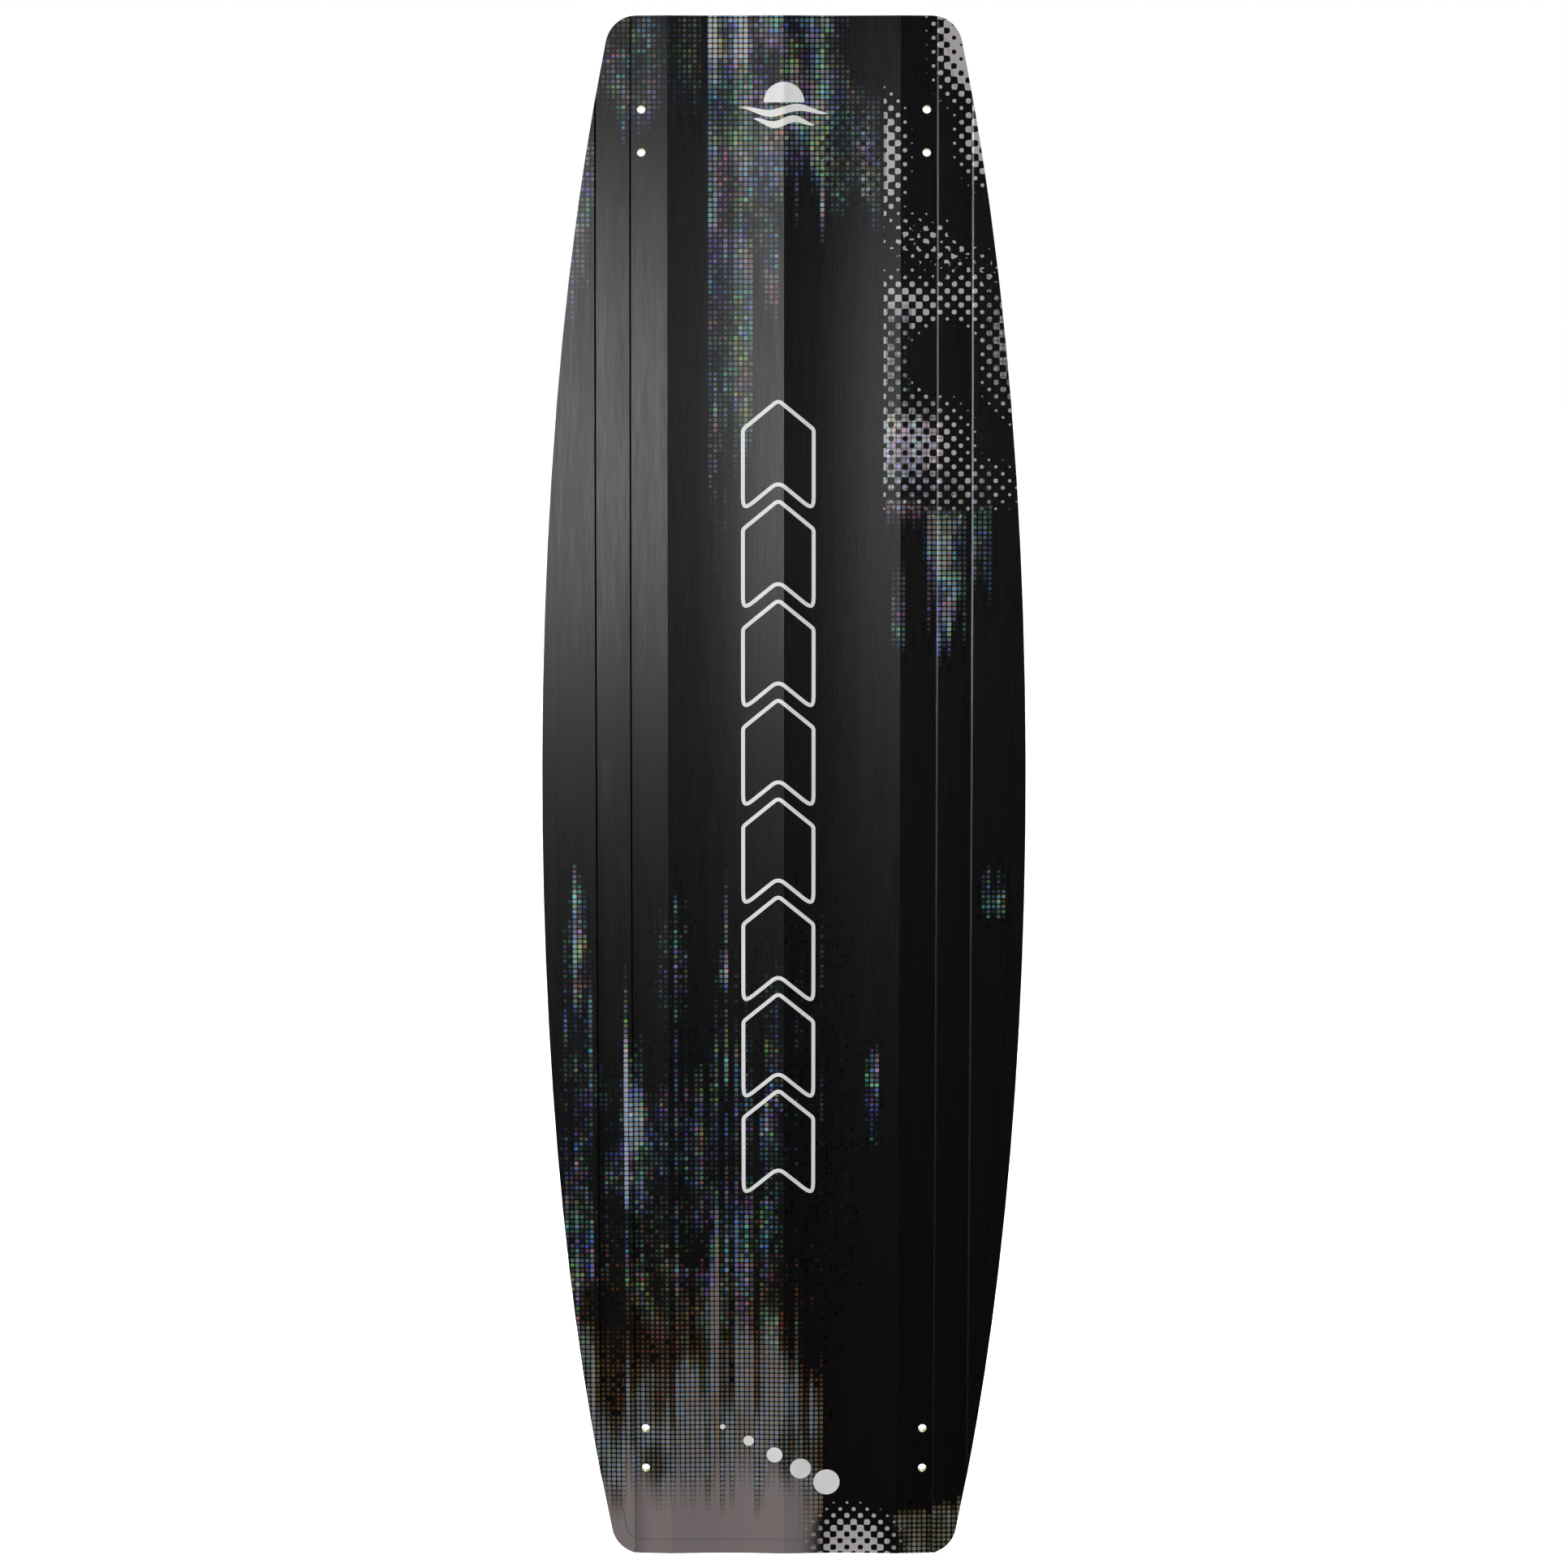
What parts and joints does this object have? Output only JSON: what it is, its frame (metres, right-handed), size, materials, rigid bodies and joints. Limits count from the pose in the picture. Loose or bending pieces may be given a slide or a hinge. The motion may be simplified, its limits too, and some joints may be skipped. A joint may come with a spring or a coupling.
{
  "type": "kiteboard",
  "caption": "Bare twin-tip kiteboard with rockered sandwich body, shingled base relief, rounded tips, open fin holes and deck-side threaded inserts.",
  "frame": {"origin": "centre of the bounding box", "axes": "+Z along the board's length, X across its width, +Y out of the deck and -Y out of the base; the board stands on one tip"},
  "size_m": [0.43, 0.0491, 1.39],
  "materials": {
    "base_film": null,
    "deck_film": "satin black film",
    "glass_laminate": "woven glass in clear epoxy",
    "glass_patch": "biaxial glass in clear epoxy",
    "rail_plastic": "machined ABS",
    "core_wood": "sanded paulownia strips",
    "stringer_wood": "sanded hardwood strips",
    "plug_resin": "translucent yellow-green cast resin",
    "insert_steel": "turned stainless steel"
  },
  "bodies": {
    "root": {"base_sheet": "base_film", "base_laminate": "glass_laminate", "deck_laminate": "glass_laminate", "top_sheet": "deck_film", "top_stance_patch": "glass_patch", "bottom_stance_patch": "glass_patch", "rail_left": "rail_plastic", "rail_right": "rail_plastic", "tip_rail_top": "rail_plastic", "tip_rail_bottom": "rail_plastic", "core_centre": "core_wood", "core_outer_left": "core_wood", "core_outer_right": "core_wood", "core_stringer_left": "stringer_wood", "core_stringer_right": "stringer_wood", "fin_plug_top_left": "plug_resin", "fin_plug_top_right": "plug_resin", "fin_plug_bottom_left": "plug_resin", "fin_plug_bottom_right": "plug_resin", "stance_inserts_top": "insert_steel", "stance_inserts_bottom": "insert_steel", "handle_inserts": "insert_steel"}
  },
  "joints": []
}
